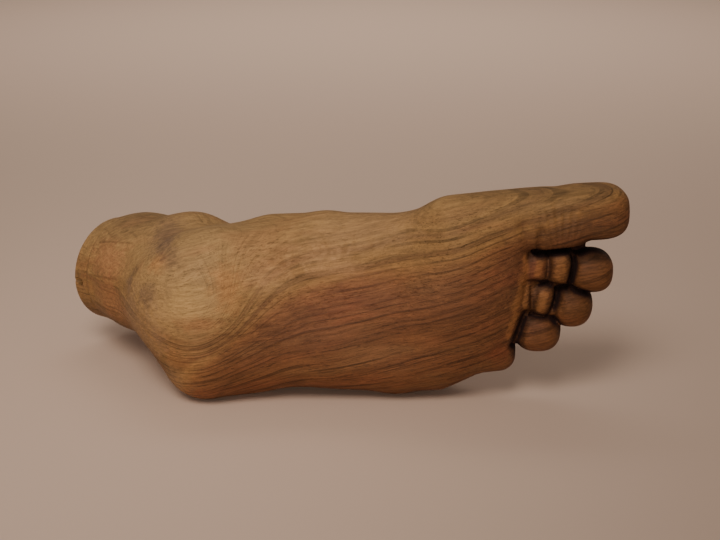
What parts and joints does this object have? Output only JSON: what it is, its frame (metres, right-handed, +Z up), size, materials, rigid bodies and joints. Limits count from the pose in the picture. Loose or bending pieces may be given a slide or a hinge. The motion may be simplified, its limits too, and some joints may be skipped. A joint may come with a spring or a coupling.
{
  "type": "carved foot",
  "caption": "Human left foot carved in wood with a short sawn-off leg, lying on its little-toe side with the sole facing forward.",
  "frame": {"origin": "centre of the bounding box in X and Y, on the surface that the foot lies on", "axes": "+X from the heel to the toes, -Y is where the sole faces, +Z up, which is the big-toe side"},
  "size_m": [0.1566, 0.0706, 0.0604],
  "materials": {
    "wood": "bare fruitwood, carved and sanded smooth, matte"
  },
  "bodies": {
    "root": {"carved_foot": "wood"}
  },
  "joints": []
}
